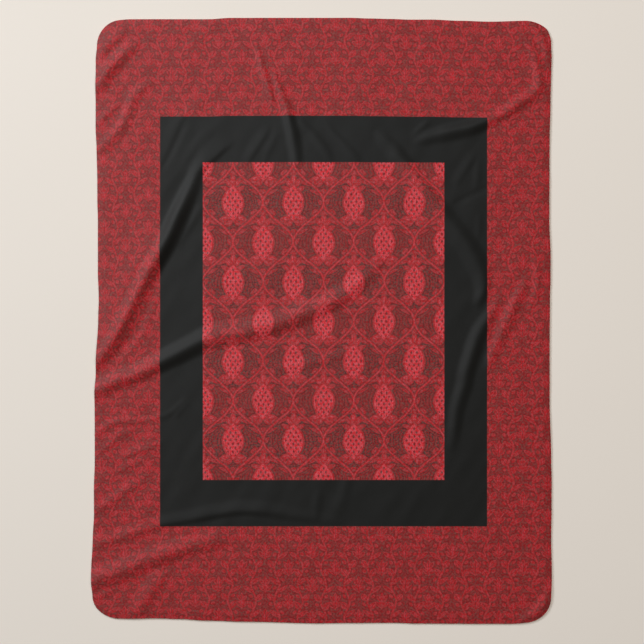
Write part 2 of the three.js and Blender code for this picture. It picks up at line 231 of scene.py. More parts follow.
# The same columns for the small wrinkles between the folds, and a trough where the height is below 0
wrinkles = {
    "headLeftTip": [(-746, 867, 0, 22, 18), (-735, 897, 4, 34, 22), (-719, 922, 5.3, 38, 24),
                    (-696, 944, 5, 38, 24), (-674, 964, 3.3, 32, 22), (-649, 985, 0, 22, 16)],
    "headLeftSide": [(-762, 648, 0, 14, 14), (-747, 664, 2.2, 16, 17), (-722, 692, 3, 18, 18),
                     (-694, 720, 2, 17, 17), (-676, 738, 0, 14, 14)],
    "longLeftAside": [(-555, 140, 0, 12, 12), (-574, 97, 2.2, 14, 14), (-621, 3, 2.6, 15, 15),
                      (-668, -70, 2.4, 14, 14), (-722, -138, 1.5, 13, 13), (-745, -165, 0, 12, 12)],
    "longLeftBeside": [(-545, 90, 0, 12, 12), (-567, 44, 1.4, 14, 14), (-604, -50, 1.6, 15, 15),
                       (-648, -104, 1.2, 14, 14), (-675, -130, 0, 12, 12)],
    "longLeftFoot": [(-443, 508, 0, 12, 26), (-470, 464, -1.8, 16, 38), (-496, 415, -2.2, 17, 42),
                     (-527, 348, -2, 17, 40), (-556, 292, 0, 12, 26)],
    "longLeftInner": [(-400, 392, 0, 16, 18), (-414, 368, 1.2, 19, 25), (-466, 282, 1.4, 19, 25),
                      (-494, 236, 0, 16, 18)],
    "leftRippleA": [(-758, -377, 2.4, 18, 18), (-690, -338, 3.4, 20, 20), (-612, -335, 2.4, 18, 18),
                    (-538, -321, 1.3, 16, 17), (-503, -304, 1.3, 15, 16), (-486, -289, 1.3, 14, 15),
                    (-466, -269, 0.9, 14, 14), (-450, -250, 0, 12, 12)],
    "leftRippleAside": [
        (-500, -335, 0, 12, 12), (-486, -314, 0.9, 14, 14), (-458, -283, 0.9, 14, 14),
        (-442, -262, 0, 12, 12)],
    "leftRippleBetween": [
        (-748, -445, 0, 14, 13), (-732, -430, 1.8, 20, 16), (-698, -403, 2.4, 20, 16),
        (-675, -379, 2.2, 18, 16), (-635, -370, 1.4, 16, 16), (-600, -366, 0, 14, 14)],
    "leftRippleB": [(-690, -472, 0, 16, 16), (-645, -444, 2.8, 20, 20), (-589, -427, 2.8, 18, 18),
                    (-555, -414, 1.4, 15, 15), (-530, -404, 0, 12, 12)],
    "leftRippleD": [(-700, -510, 0, 14, 13), (-675, -497, 1.9, 18, 16), (-645, -483, 2.1, 18, 16),
                    (-612, -470, 1.6, 17, 15), (-585, -462, 0, 14, 13)],
    "leftRippleC": [(-752, -630, 2.4, 22, 24), (-740, -624, 2.9, 23, 26), (-695, -595, 3.2, 24, 28),
                    (-645, -556, 2.7, 22, 26), (-590, -530, 0, 18, 20)],
    "footLeftTip": [(-762, -926, 1.5, 14, 18), (-735, -914, 2.6, 16, 20), (-705, -904, 1.7, 15, 18),
                    (-675, -895, 0, 12, 14)],
    "headBandA": [(-438, 710, 0, 12, 26), (-472, 675, 1.4, 16, 36), (-506, 604, 1.6, 16, 36),
                  (-533, 544, 1.2, 16, 34), (-556, 500, 0, 14, 28)],
    "headBandB": [(-436, 660, 0, 26, 13), (-454, 631, 1, 36, 18), (-487, 564, 1.3, 36, 18),
                  (-514, 517, 1.1, 34, 18), (-532, 480, 0, 28, 14)],
    "headBandC": [(-345, 670, 0, 20, 20), (-374, 640, 0.6, 26, 26), (-412, 603, 0.6, 26, 26),
                  (-446, 557, 0.6, 24, 24), (-470, 520, 0, 20, 20)],
    "headBandD": [(-172, 660, 0, 11, 24), (-194, 620, 1.9, 15, 34), (-219, 582, 2.2, 16, 36),
                  (-240, 548, 1.9, 15, 34), (-262, 508, 0, 12, 26)],
    "headBandE": [(-146, 640, 0, 12, 12), (-163, 603, 0.7, 15, 15), (-192, 540, 0.7, 15, 15),
                  (-206, 508, 0, 12, 12)],
    "headBandF": [(-92, 690, 0, 14, 16), (-66, 660, 2.4, 20, 23), (-28, 622, 2.9, 24, 24),
                  (12, 569, 2.5, 24, 23), (36, 530, 0, 14, 18)],
    "headBandG": [(8, 665, 0, 12, 18), (40, 628, 2, 16, 24), (73, 594, 2.3, 18, 25),
                  (107, 557, 1.8, 17, 24), (135, 524, 0, 12, 18)],
    "headRightAside": [(366, 678, 0, 12, 12), (346, 658, 1.5, 15, 15), (319, 636, 1.5, 15, 15),
                       (296, 616, 0, 12, 12)],
    "rightBandA": [(518, 566, 0, 12, 22), (495, 532, 1.6, 17, 32), (474, 499, 1.7, 18, 32),
                   (456, 470, 1.2, 17, 28), (444, 445, 0, 12, 20)],
    "rightBandB": [(528, 555, 0, 16, 16), (523, 516, 1.2, 20, 20), (519, 474, 1.3, 20, 20),
                   (512, 440, 0, 16, 16)],
    "rightBandC": [(428, 384, 0, 10, 16), (455, 400, -0.9, 13, 20), (497, 421, -1.2, 14, 22),
                   (543, 443, -1.1, 14, 22), (568, 455, 0, 10, 16)],
    "rightBandE": [(530, 366, 0, 14, 14), (527, 339, 1, 18, 18), (525, 301, 1, 18, 18),
                   (521, 270, 0, 14, 14)],
    "rightBorder": [(708, 235, 0, 15, 15), (716, 198, 2.6, 18, 18), (722, 138, 3.4, 19, 19),
                    (711, 77, 3, 19, 18), (685, 25, 0, 15, 15)],
    "footBandA": [(86, -510, 0, 18, 18), (81, -541, 1.4, 26, 26), (70, -591, 1.6, 30, 30),
                  (47, -641, 0.9, 30, 30), (32, -676, 0, 20, 20)],
    "footBandB": [(-13, -560, 0, 18, 18), (-14, -590, 1.5, 26, 24), (-20, -645, 1.5, 26, 24),
                  (-24, -676, 0, 18, 18)],
    "footBandC": [(340, -545, 0, 20, 20), (322, -576, 0.5, 26, 26), (285, -643, 0.4, 26, 26),
                  (272, -670, 0, 20, 20)],
    "panelAside": [(-190, -165, 0, 18, 16), (-76, -148, 2.4, 23, 26), (50, -118, 2.6, 23, 26),
                   (110, -92, 0, 18, 16)],
}


def easeDown(t):  # 1 at 0, 0 from 1 on, level at both ends
    t = np.clip(t, 0, 1)
    return 1 - t * t * (3 - 2 * t)


def smoothRows(rows):  # a smooth curve through the rows, all columns alike
    rows = np.array(rows, float)
    ends = np.vstack([2 * rows[0] - rows[1], rows, 2 * rows[-1] - rows[-2]])
    points = []
    for i in range(len(rows) - 1):
        before, start, end, after = ends[i:i + 4]
        for t in np.arange(blanket["stepsPerRow"]) / blanket["stepsPerRow"]:
            square = (2 * before - 5 * start + 4 * end - after) * t ** 2
            cube = (3 * start - before - 3 * end + after) * t ** 3
            points.append(start + 0.5 * ((end - before) * t + square + cube))
    points.append(rows[-1])
    return np.array(points)


def foldLift(rows, x, y):  # height of one fold, from the nearest point of its crest
    crest = smoothRows(rows)
    nearest = np.full_like(x, np.inf)
    lift = np.zeros_like(x)
    for a, b in zip(crest[:-1], crest[1:]):
        alongX, alongY = b[:2] - a[:2]
        part = ((x - a[0]) * alongX + (y - a[1]) * alongY) / (alongX ** 2 + alongY ** 2)
        part = np.clip(part, 0, 1)
        offX = x - a[0] - part * alongX
        offY = y - a[1] - part * alongY
        away = np.hypot(offX, offY)
        height, left, right = (a[k] + part * (b[k] - a[k]) for k in (2, 3, 4))
        flank = np.where(alongX * offY - alongY * offX > 0, left, right)
        nearer = away < nearest
        nearest = np.where(nearer, away, nearest)
        lift = np.where(nearer, height * easeDown(away / flank), lift)
    return lift


def easedAt(rows, place):  # a table's second column at a place, eased from row to row
    rows = np.array(rows, float)
    after = np.clip(np.searchsorted(rows[:, 0], place), 1, len(rows) - 1)
    a, b = rows[after - 1], rows[after]
    return b[:, 1] + (a[:, 1] - b[:, 1]) * easeDown((place - a[:, 0]) / (b[:, 0] - a[:, 0]))


def wandered(x, y):  # a place on the cut cloth, moved by the wander of the edges near it
    def out(edge, place, half, outwards, reach="wanderReach"):
        return easedAt(edgeWander[edge], place) * easeDown((half - outwards) / blanket[reach])

    halfWidth = blanket["cutWidth"] / 2
    halfLength = blanket["cutLength"] / 2
    outX = out("right", y, halfWidth, x) - out("left", y, halfWidth, -x)
    outY = out("head", x, halfLength, y, "headReach") - out("foot", x, halfLength, -y)
    return x + outX, y + outY


def onCut(across, along):  # cloth coordinates from -1 to 1, to a place within the rounded outline
    radius = blanket["cornerRadius"]
    inset = radius - blanket["hemRadius"]
    straight = 1 - 2 * blanket["cornerShare"]
    turn = np.maximum(np.abs(along) - straight, 0) / (1 - straight) * math.pi / 2
    straightY = np.minimum(np.abs(along) / straight, 1) * (blanket["cutLength"] / 2 - radius)
    halfWidth = blanket["cutWidth"] / 2 - radius + inset * np.cos(turn)
    return across * halfWidth, np.sign(along) * (straightY + inset * np.sin(turn))


def fromEdge(x, y):  # how far a place on the cut cloth is inside its outline, and the way out there
    radius = blanket["cornerRadius"]
    coreX = blanket["cutWidth"] / 2 - radius
    coreY = blanket["cutLength"] / 2 - radius
    overX = np.abs(x) - coreX
    overY = np.abs(y) - coreY
    beyond = np.hypot(np.maximum(overX, 0), np.maximum(overY, 0))
    inside = radius - beyond - np.minimum(np.maximum(overX, overY), 0)
    out = np.stack([x - np.clip(x, -coreX, coreX), y - np.clip(y, -coreY, coreY)], 1)
    return inside, out / np.maximum(np.hypot(*out.T), 1e-9)[:, None]


def clothLift(x, y):  # how high the cloth's underside is over the floor
    lift = sum(foldLift(rows, x, y) for rows in [*mainFolds.values(), *wrinkles.values()])
    slant = math.radians(blanket["loftSlant"])
    along = x * math.cos(slant) + y * math.sin(slant)
    across = y * math.cos(slant) - x * math.sin(slant)
    cut = blanket["loftSlice"]
    for height, wide, tall in blanket["lofts"]:
        loft = np.array([noise.noise(Vector((u / wide, v / tall, cut))) for u, v in zip(across, along)])
        lift = lift + height * (1 + np.clip(loft, -1, 1))
    return np.maximum(lift, 0)


def clothRows():  # every point of the face's grid, row by row from the foot
    across, along = np.meshgrid(np.linspace(-1, 1, blanket["cellsAcross"] + 1),
                                np.linspace(-1, 1, blanket["cellsAlong"] + 1))
    cutX, cutY = onCut(across.ravel(), along.ravel())
    x, y = wandered(cutX, cutY)
    inside, out = fromEdge(cutX, cutY)
    lift = clothLift(x, y)
    top = lift + blanket["thickness"] - blanket["hemDrop"] * easeDown(inside / blanket["hemReach"])
    backing = lift + blanket["pileDepth"] - blanket["pileDrop"] * easeDown(inside / blanket["pileReach"])
    return {"x": x, "y": y, "cutX": cutX, "cutY": cutY, "inside": inside, "out": out,
            "top": top, "backing": backing}


def edgeIndices():  # the face's edge points in order, counter-clockwise from above
    m, n = blanket["cellsAcross"], blanket["cellsAlong"]
    foot = list(range(m))
    right = [j * (m + 1) + m for j in range(n)]
    head = [n * (m + 1) + i for i in range(m, 0, -1)]
    left = [j * (m + 1) for j in range(n, 0, -1)]
    return np.array(foot + right + head + left)


def backingFaces(indexOf):  # faces of the underside, two cells a side, with the edge's points kept
    m, n = blanket["cellsAcross"], blanket["cellsAlong"]
    faces = []
    for j in range(0, n, 2):
        for i in range(0, m, 2):
            loop = [(i, j), (i, j + 1), (i, j + 2), (i + 1, j + 2),
                    (i + 2, j + 2), (i + 2, j + 1), (i + 2, j), (i + 1, j)]
            loop = [row * (m + 1) + column for column, row in loop]
            faces.append([indexOf[k] for k in loop if indexOf[k] >= 0])
    return faces


def makeCloth(rows):
    m, n = blanket["cellsAcross"], blanket["cellsAlong"]
    points = [np.stack([rows["x"], rows["y"], rows["top"]], 1)]
    places = [np.stack([rows["cutX"], rows["cutY"]], 1)]
    faces = []
    for j in range(n):
        for i in range(m):
            k = j * (m + 1) + i
            faces.append((k, k + 1, k + m + 2, k + m + 1))
    faceCount = len(faces)

    # Rings of the rolled edge, from the face round to the backing
    edge = edgeIndices()
    rings = [edge]
    count = len(points[0])
    middle = (rows["top"][edge] + rows["backing"][edge]) / 2
    half = (rows["top"][edge] - rows["backing"][edge]) / 2
    for step in range(1, blanket["rimSteps"]):
        turn = math.pi * (0.5 - step / blanket["rimSteps"])
        side = rows["out"][edge] * blanket["hemRadius"] * math.cos(turn)
        ringX = rows["x"][edge] + side[:, 0]
        ringY = rows["y"][edge] + side[:, 1]
        points.append(np.stack([ringX, ringY, middle + half * math.sin(turn)], 1))
        rolled = rows["out"][edge] * blanket["hemRadius"] * math.pi * step / blanket["rimSteps"]
        places.append(places[0][edge] + rolled)
        rings.append(count + np.arange(len(edge)))
        count += len(edge)

    # The backing has every second point, and all of them along the edge
    columns, rowNumbers = np.meshgrid(np.arange(m + 1), np.arange(n + 1))
    kept = ((columns % 2 == 0) & (rowNumbers % 2 == 0)).ravel()
    kept[edge] = True
    indexOf = np.full(len(kept), -1)
    indexOf[kept] = count + np.arange(kept.sum())
    points.append(np.stack([rows["x"], rows["y"], rows["backing"]], 1)[kept])
    places.append(places[0][kept])
    rings.append(indexOf[edge])
    for upper, lower in zip(rings[:-1], rings[1:]):
        faces += zip(upper, lower, np.roll(lower, -1), np.roll(upper, -1))
    printedCount = len(faces)
    faces += backingFaces(indexOf)

    mesh = bpy.data.meshes.new("blanket_cloth")
    points = np.vstack(points) * mm
    mesh.from_pydata(points.tolist(), [], [[int(k) for k in face] for face in faces])
    mesh.polygons.foreach_set("material_index", np.arange(len(faces)) >= printedCount)
    mesh.polygons.foreach_set("use_smooth", np.ones(len(faces), bool))
    places = np.vstack(places) * mm
    place = mesh.attributes.new("clothPlace", "FLOAT_VECTOR", "POINT")
    place.data.foreach_set("vector", np.column_stack([places, np.zeros(len(places))]).ravel())
    layOut(mesh, places, printedCount)
    print("cloth:", len(faces), "faces,", faceCount, "of them on the face")
    piece = bpy.data.objects.new("blanket_cloth", mesh)
    bpy.context.collection.objects.link(piece)
    return piece


def layOut(mesh, places, printedCount):  # a flat map with the face on the left and the backing in a strip
    scale = 0.485  # of the map for each metre
    stripScale = 0.15
    faceMiddle = 0.376
    stripMiddle = 0.877
    mapMiddle = 0.5
    corners = np.zeros(len(mesh.loops), int)
    mesh.loops.foreach_get("vertex_index", corners)
    starts = np.zeros(len(mesh.polygons), int)
    mesh.polygons.foreach_get("loop_start", starts)
    onBack = np.arange(len(corners)) >= starts[printedCount]
    x, y = places[corners].T
    across = np.where(onBack, stripMiddle - x * stripScale, faceMiddle + x * scale)
    flatMap = mesh.uv_layers.new(name="OFBake")
    flatMap.data.foreach_set("uv", np.stack([across, mapMiddle + y * scale], 1).ravel())


# The pile under the backing

pile = {
    "Curl spacing": 15.5 * mm,
    "Curl radius": 12.8 * mm,
    "Curl flatness": 0.215,
    "Curl drop": 0.6 * mm,
    "Smallest": 0.82,
    "Seed": 7,
    "inset": 15,                    # from the edge, mm
    "tilt": 0.06,                   # radians either way
    "spare": 1.5,                   # how far the cloth may bend over a full curl, mm
    "tightest": 0.4,                # smallest share of a curl's size where it bends more
    "shade": (0.60, 0.53, 0.43, 1),
    "light": (0.80, 0.73, 0.62, 1),
    "lightFrom": (0.3, 0.75),
    "fibres": (0.004, 3.0, 0.65),   # size in metres, detail and roughness of the noise
    "patches": (0.06, 2.0),
    "tone": (0.9, 0.2),             # at the least, and by how much more with the patches
    "roughness": (0.8, 0.15),       # the same with the fibres
    "bump": {"Strength": 0.8, "Distance": 0.002},
}


def pileTree(material):
    tree = bpy.data.node_groups.new("sherpa pile", "GeometryNodeTree")
    tree.interface.new_socket("Backing", in_out="INPUT", socket_type="NodeSocketGeometry")
    for name in ("Curl spacing", "Curl radius", "Curl flatness", "Curl drop", "Smallest"):
        tree.interface.new_socket(name, in_out="INPUT", socket_type="NodeSocketFloat")
    tree.interface.new_socket("Seed", in_out="INPUT", socket_type="NodeSocketInt")
    tree.interface.new_socket("Curls", in_out="OUTPUT", socket_type="NodeSocketGeometry")
    nodes = Nodes(tree)
    given = tree.nodes.new("NodeGroupInput")
    size = {socket.name: Wire(nodes, socket) for socket in given.outputs}

    densest = 1e5  # points to choose from, a square metre
    spread = nodes.add("GeometryNodeDistributePointsOnFaces", {"distribute_method": "POISSON"},
                       {"Mesh": size["Backing"], "Distance Min": size["Curl spacing"],
                        "Density Max": densest, "Seed": size["Seed"]}, "Points")
    facing = Wire(nodes, spread.socket.node.outputs["Rotation"])
    ball = nodes.add("GeometryNodeMeshIcoSphere", {},
                     {"Radius": size["Curl radius"], "Subdivisions": 1}, "Mesh")
    flat = nodes.add("ShaderNodeCombineXYZ", {}, {"X": 1.0, "Y": 1.0, "Z": size["Curl flatness"]})
    lower = nodes.add("ShaderNodeCombineXYZ", {}, {"Z": size["Curl drop"]})
    curl = nodes.add("GeometryNodeTransform", {},
                     {"Geometry": ball, "Translation": lower, "Scale": flat}, "Geometry")
    tilt = pile["tilt"]
    spin = nodes.add("FunctionNodeRandomValue", {"data_type": "FLOAT_VECTOR"},
                     {0: (-tilt, -tilt, 0.0), 1: (tilt, tilt, math.tau), "Seed": size["Seed"]})
    turned = nodes.add("FunctionNodeRotateRotation", {"rotation_space": "LOCAL"},
                       {0: facing, 1: nodes.add("FunctionNodeEulerToRotation", {}, {0: spin})})
    grown = nodes.add("FunctionNodeRandomValue", {"data_type": "FLOAT"},
                      {2: size["Smallest"], 3: 1.0, "Seed": size["Seed"] + 1}, 1)
    room = nodes.add("GeometryNodeInputNamedAttribute", {"data_type": "FLOAT"},
                     {"Name": "room"}, "Attribute")
    curls = nodes.add("GeometryNodeInstanceOnPoints", {},
                      {"Points": spread, "Instance": curl, "Rotation": turned, "Scale": grown * room},
                      "Instances")
    plain = nodes.add("GeometryNodeRealizeInstances", {}, {"Geometry": curls}, "Geometry")
    smooth = nodes.add("GeometryNodeSetShadeSmooth", {}, {"Geometry": plain}, "Geometry")
    dressed = nodes.add("GeometryNodeSetMaterial", {},
                        {"Geometry": smooth, "Material": material}, "Geometry")
    result = tree.nodes.new("NodeGroupOutput")
    nodes.feed(result.inputs["Curls"], dressed)
    return tree


def curlRoom(rows):  # share of a curl's full size that stays clear of the face, at each point of the grid
    m, n = blanket["cellsAcross"], blanket["cellsAlong"]
    body = blanket["thickness"] - blanket["pileDepth"]
    radius = pile["Curl radius"] / mm
    reach = 2        # cells to look over
    closest = 4      # in mm, because cells are short near head and foot
    leastBend = 0.1
    wide = {}
    for name in ("x", "y", "top", "backing"):
        wide[name] = np.pad(rows[name].reshape(n + 1, m + 1), reach, mode="edge")

    def near(name, down, over):
        return wide[name][reach + down:reach + n + 1 + down, reach + over:reach + m + 1 + over]

    bend = np.full((n + 1, m + 1), leastBend)
    ways = [(reach, 0), (0, reach), (1, 1), (1, -1)]
    for down, over in ways + [(-down, -over) for down, over in ways]:
        away = np.hypot(near("x", down, over) - near("x", 0, 0), near("y", down, over) - near("y", 0, 0))
        rise = (near("backing", down, over) - near("backing", -down, -over)) / 2
        closer = near("backing", 0, 0) + rise + body - near("top", down, over)
        bend = np.maximum(bend, closer * (radius / np.maximum(away, closest)) ** 2)
    return np.sqrt(np.clip(pile["spare"] / bend, pile["tightest"] ** 2, 1)).ravel()


def makePile(rows, material):
    m, n = blanket["cellsAcross"], blanket["cellsAlong"]
    first = (np.arange(n)[:, None] * (m + 1) + np.arange(m)).ravel()
    cells = np.stack([first, first + m + 1, first + m + 2, first + 1], 1)
    cells = cells[(rows["inside"][cells] > pile["inset"]).all(1)]
    points = np.stack([rows["x"], rows["y"], rows["backing"]], 1) * mm
    backing = bpy.data.meshes.new("pile_backing")
    backing.from_pydata(points.tolist(), [], cells.tolist())
    backing.attributes.new("room", "FLOAT", "POINT").data.foreach_set("value", curlRoom(rows))
    grower = bpy.data.objects.new("pile_backing", backing)
    bpy.context.collection.objects.link(grower)
    curls = grower.modifiers.new("curls", "NODES")
    curls.node_group = pileTree(material)
    for socket in curls.node_group.interface.items_tree:
        if socket.in_out == "INPUT" and socket.name in pile:
            curls[socket.identifier] = pile[socket.name]
    evaluated = grower.evaluated_get(bpy.context.evaluated_depsgraph_get())
    mesh = bpy.data.meshes.new_from_object(evaluated)
    bpy.data.objects.remove(grower)
    mesh.name = "sherpa_pile"
    piece = bpy.data.objects.new("sherpa_pile", mesh)
    bpy.context.collection.objects.link(piece)
    print("pile:", len(mesh.polygons), "faces")
    return piece


# The print. Colours are linear, sizes in millimetres of the cut cloth.

ink = {
    "brown": (0.242, 0.056, 0.047, 1),
    "wine": (0.286, 0.016, 0.020, 1),
    "dusk": (0.082, 0.036, 0.031, 1),
    "soot": (0.042, 0.066, 0.056, 1),
    "deep": (0.344, 0.023, 0.024, 1),
    "rose": (0.590, 0.046, 0.066, 1),
    "panelRose": (0.690, 0.092, 0.120, 1),
    "outline": (0.610, 0.068, 0.084, 1),
    "black": (0.0034, 0.0033, 0.0022, 1),
}

frameBand = {
    "middle": (5.3, -0.3),
    "outerHalf": (547.85, 687.6),
    "innerHalf": (404.7, 532.3),
    "soft": 1.2,
}

# A leaf is the x, y of its root, its turn from upright in degrees, its length and half its width
panel = {
    "cellWide": 202.35,
    "cellTall": 266.15,
    "ribHalf": 4.0,
    "ribLine": (1.2, 2.2, 1.4),   # dark lines along the ribs: distance out, width, softness
    "ribInk": 0.55,
    "ribLeafStep": 33.27,
    "ribLeaf": (3, -11, 36, 24, 5.0),
    "fruit": (0, -66, 0, 124, 36),
    "leaves": [(0, 56, 0, 38, 8), (5, 50, 34, 36, 7), (9, 38, 66, 32, 6), (6, -52, 100, 40, 7.5),
               (4, -60, 142, 26, 6)],
    "scaleWide": 17.0,
    "scaleTall": 26.0,
    "scalesFrom": (-5, -7),       # inside the fruit's edge
    "seed": (0.20, 0.36),         # of a scale, from its edge to its middle at 0.5
    "seedInk": 0.8,
    "scaleEdge": (0.13, 0.05),
    "scaleInk": 0.7,
    "fleckInk": (0.2, 0.6),       # round the fruit, and more in every other cell
    "light": "panelRose",         # ink of the lit parts
    "depth": 5.0,                 # how far in from a motif's edge it is fully lit
    "even": 0.45,                 # share of the light ink that has no streaks
    "soft": 1.8,                  # blur of a motif's edge, either way
    "echo": 11.0,                 # steps of the lines round a motif
    "echoInk": 0.65,
}

border = {
    "cellWide": 78.3,
    "cellTall": 114.0,
    "sway": 9.0,
    "leavesPerTurn": 4,
    "stemLeaf": (1, -13, 48, 34, 7.0),
    "bud": (-14, 3, 4.5),         # x, y, radius
    "stemHalf": 1.5,
    "podLeaves": [(0, -27, 0, 54, 8.5), (3, -22, 42, 26, 5.0), (2, -2, 34, 26, 4.5)],
    "light": "rose",
    "depth": 4.5,
    "even": 0.15,
    "soft": 2.8,
    "echo": 9.0,
    "echoInk": 0.35,
}

pen = {
    "echoWidth": 3.0,
    "echoSoft": 1.8,
    "echoFrom": (2, 5),           # outside a motif
    "litFrom": -1,                # inside it
    "ragged": 3.2,
    "vein": (2.2, 0.6),           # from its edge to its middle
    "veinInset": 0.45,            # of a leaf's half width
    "veinInk": 0.5,
    "noVein": 100,
    "outlineWidth": 1.6,
    "outlineSoft": 1.6,
    "outlineInk": (0.1, 0.6),     # everywhere, and more in the blotches
}


def drawnLeaf(x, y, leaf):  # how far outside a pointed leaf, negative inside it, and the same for its vein
    rootX, rootY, turn, length, half = leaf
    sine, cosine = math.sin(math.radians(turn)), math.cos(math.radians(turn))
    share = ((x - rootX) * sine + (y - rootY) * cosine) / length
    across = abs((x - rootX) * cosine - (y - rootY) * sine)
    gap = across - 4 * half * share * (1 - share)
    return gap, across.math("MAXIMUM", gap + half * pen["veinInset"])


def withoutVein(gap):
    return gap, gap + pen["noVein"]


def joined(*drawings):  # motifs as one
    gap, vein = drawings[0]
    for otherGap, otherVein in drawings[1:]:
        gap = gap.math("MINIMUM", otherGap)
        vein = vein.math("MINIMUM", otherVein)
    return gap, vein


def inked(drawing, paint, style):  # ground, echo lines round a motif, its fill, veins and outline
    gap, vein = drawing
    ring = gap.math("FLOORED_MODULO", style["echo"])
    echoes = line(ring, style["echo"] / 2, pen["echoWidth"], pen["echoSoft"]) * fade(gap, *pen["echoFrom"])
    colour = mixed(echoes * style["echoInk"], paint["ground"], ink["dusk"])
    streaked = style["even"] + (1 - style["even"]) * paint["streaks"]
    fill = mixed(fade(gap, pen["litFrom"], -style["depth"]) * streaked, ink["deep"], ink[style["light"]])
    ragged = gap + pen["ragged"] * paint["blotches"] - pen["ragged"] / 2
    colour = mixed(fade(ragged, style["soft"], -style["soft"]), colour, fill)
    colour = mixed(fade(vein, *pen["vein"]) * pen["veinInk"], colour, ink["dusk"])
    least, more = pen["outlineInk"]
    outline = line(gap, 0, pen["outlineWidth"], pen["outlineSoft"]) * (least + more * paint["blotches"])
    return mixed(outline, colour, ink["outline"])


def borderPrint(x, y, paint):  # swaying stems with leaves and buds, and a pod wherever two of them part
    wide, tall = border["cellWide"], border["cellTall"]
    column = (x / wide + 0.5).math("FLOOR")
    sway = (y * (math.tau / tall) + column * math.pi).math("SINE") * border["sway"]
    fromStem = x - column * wide - sway
    leafStep = tall / border["leavesPerTurn"]
    node = (y / leafStep).math("FLOOR")
    side = 1 - 2 * (node + column).math("FLOORED_MODULO", 2.0)
    cellX = fromStem * side
    cellY = y - (node + 0.5) * leafStep
    budX, budY, budRadius = border["bud"]
    bud = ((cellX - budX) * (cellX - budX) + (cellY - budY) * (cellY - budY)).math("SQRT") - budRadius
    stem = abs(fromStem) - border["stemHalf"]
    between = (x / wide).math("FLOOR")
    podX = abs(x - (between + 0.5) * wide)
    podY = (y + (between * 0.5 + 0.25) * tall).math("WRAP", tall / 2, -tall / 2)
    pods = [drawnLeaf(podX, podY, leaf) for leaf in border["podLeaves"]]
    stemLeaf = drawnLeaf(cellX, cellY, border["stemLeaf"])
    drawing = joined(stemLeaf, withoutVein(bud), withoutVein(stem), *pods)
    return inked(drawing, paint, border)


def panelPrint(x, y, paint):  # leafy ogee ribs round a crowned fruit with scales
    wide, tall = panel["cellWide"], panel["cellTall"]
    turnY = y * (math.tau / tall)
    foldedX = x.math("PINGPONG", wide / 2)
    lean = turnY.math("SINE") * (wide / 4 * math.tau / tall)
    rib = (foldedX - (1 + turnY.math("COSINE")) * (wide / 4)) / (1 + lean * lean).math("SQRT")
    other = rib.math("GREATER_THAN", 0.0)
    cellX = foldedX + other * (wide / 2 - 2 * foldedX)
    wrapped = y.math("WRAP", tall / 2, -tall / 2)
    cellY = wrapped - other * wrapped.math("SIGN") * (tall / 2)

    half = panel["ribLeafStep"] / 2
    ribs = abs(rib) - panel["ribHalf"]
    ribLeaf = drawnLeaf(abs(rib), y.math("WRAP", half, -half), panel["ribLeaf"])
    fruit, _ = drawnLeaf(cellX, cellY, panel["fruit"])
    leaves = [drawnLeaf(cellX, cellY, leaf) for leaf in panel["leaves"]]
    drawing = joined(ribLeaf, withoutVein(ribs), withoutVein(fruit), *leaves)
    least, more = panel["fleckInk"]
    ground = mixed(paint["flecks"] * (least + more * other), paint["ground"], ink["soot"])
    colour = inked(drawing, {**paint, "ground": ground}, panel)
    colour = mixed(line(ribs, *panel["ribLine"]) * panel["ribInk"], colour, ink["dusk"])

    # Scales on the fruit, each with a dark seed
    rising = cellX / panel["scaleWide"] + cellY / panel["scaleTall"]
    falling = cellX / panel["scaleWide"] - cellY / panel["scaleTall"]
    scale = rising.math("PINGPONG", 0.5).math("MINIMUM", falling.math("PINGPONG", 0.5))
    onFruit = fade(fruit, *panel["scalesFrom"])
    colour = mixed(onFruit * fade(scale, *panel["seed"]) * panel["seedInk"], colour, ink["dusk"])
    return mixed(onFruit * fade(scale, *panel["scaleEdge"]) * panel["scaleInk"], colour, ink["outline"])


# The cloth's finish. Noise has its size in metres, detail and roughness, and where it starts and is full.

fleece = {
    "shakeScale": 26.0,           # to a metre
    "shakeDetail": 1.0,
    "shakeBy": 0.007,             # metres
    "streakStretch": (1.0, 0.24, 1.0),
    "streaks": (0.0075, 2.0, 0.6, 0.36, 0.64),
    "streakInk": 0.4,
    "blotches": (0.010, 3.0, 0.7, 0.42, 0.58),
    "flecks": (0.0055, 2.0, 0.6, 0.50, 0.62),
    "fleckInk": 0.3,
    "pure": (0.0070, 2.0, 0.65, 0.45, 0.56),  # spots of purer red
    "pureTint": (1.0, 0.12, 0.18),
    "pureInk": 0.95,
    "nap": (0.0022, 3.0, 0.7),
    "patches": (0.11, 2.0),
    "tone": (0.78, 0.30, 0.14),   # at the least, more with the nap, more with the patches
    "roughness": (0.65, 0.10),    # at the least, more with the nap
    "specular": 0.83,
    "bump": {"Strength": 0.5, "Distance": 0.0006},
}


def acrossAndAlong(place):  # millimetres from the middle of the frame band
    x = place.nodes.add("ShaderNodeSeparateXYZ", {}, {0: scaled(place.nodes, place, 1 / mm)}, "X")
    y = Wire(place.nodes, x.socket.node.outputs["Y"])
    return x - frameBand["middle"][0], y - frameBand["middle"][1]


